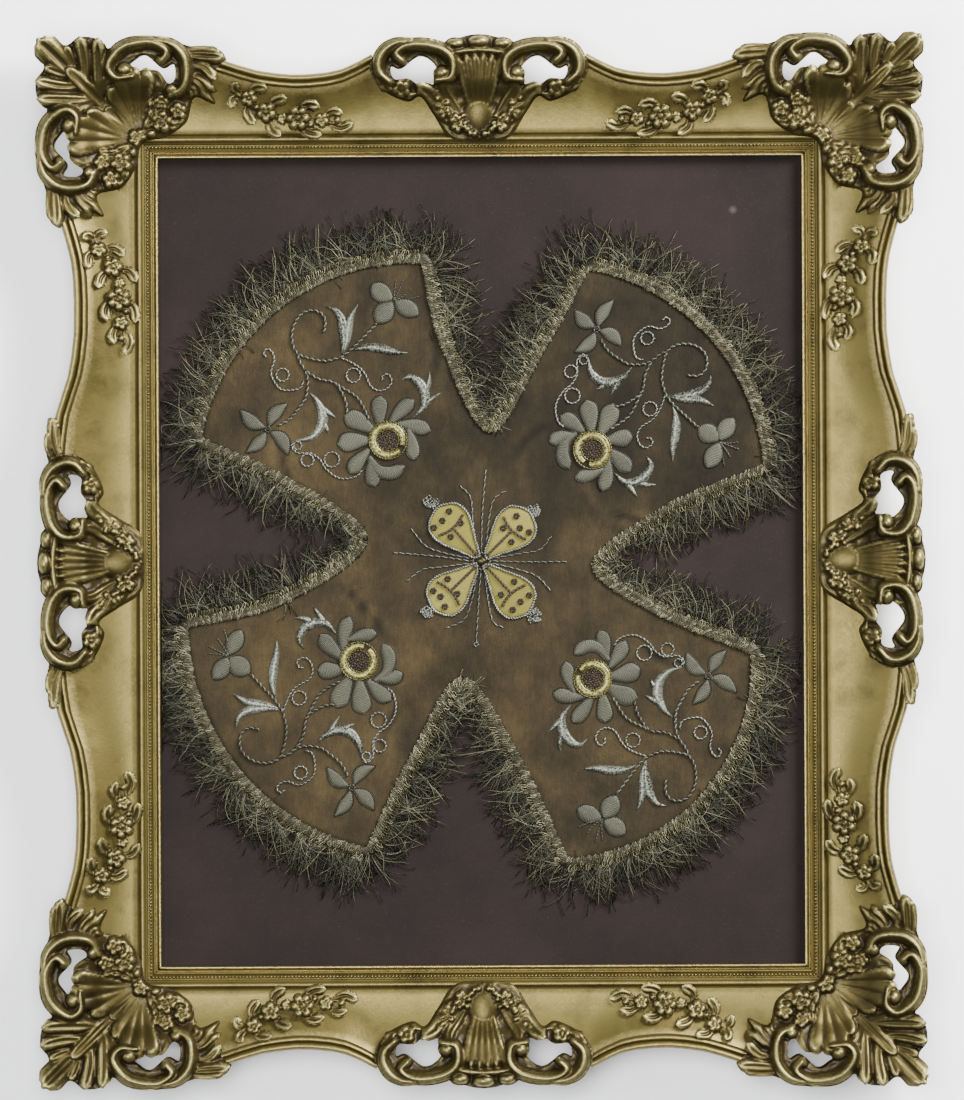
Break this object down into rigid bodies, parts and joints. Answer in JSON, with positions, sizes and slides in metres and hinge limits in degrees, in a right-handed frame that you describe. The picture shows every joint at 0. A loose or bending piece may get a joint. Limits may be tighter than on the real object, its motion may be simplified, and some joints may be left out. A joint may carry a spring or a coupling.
{
  "type": "chalice veil in a picture frame",
  "caption": "Round, notched velvet chalice veil with metal-thread fringe, laid on a cloth mount in a swept, pierced gilt picture frame.",
  "frame": {"origin": "middle of the outline, on the frame's flat back", "axes": "+Z out of the face of the frame, +Y towards the frame's top edge, +X to the right as the face is seen"},
  "size_m": [0.542, 0.643, 0.0524],
  "materials": {
    "gilding": "aged bronze-powder gilding on wood and composition",
    "slip_gilding": "bright satin gilding",
    "backing_board": "matte",
    "mount_cloth": "plain weave, matte",
    "velvet": "cut pile",
    "metal_thread": "tarnished metal-wrapped thread"
  },
  "bodies": {
    "root": {"rail_top": "gilding", "rail_left": "gilding", "rail_bottom": "gilding", "rail_right": "gilding", "slip_top": "slip_gilding", "slip_left": "slip_gilding", "slip_bottom": "slip_gilding", "slip_right": "slip_gilding", "crest_top": "gilding", "crest_left": "gilding", "crest_bottom": "gilding", "crest_right": "gilding", "corner_upper_right": "gilding", "corner_upper_left": "gilding", "corner_lower_left": "gilding", "corner_lower_right": "gilding", "mount_board": "backing_board", "mount_cloth": "mount_cloth", "velvet": "velvet", "fringe_upper_right": "metal_thread", "fringe_upper_left": "metal_thread", "fringe_lower_left": "metal_thread", "fringe_lower_right": "metal_thread"}
  },
  "joints": []
}
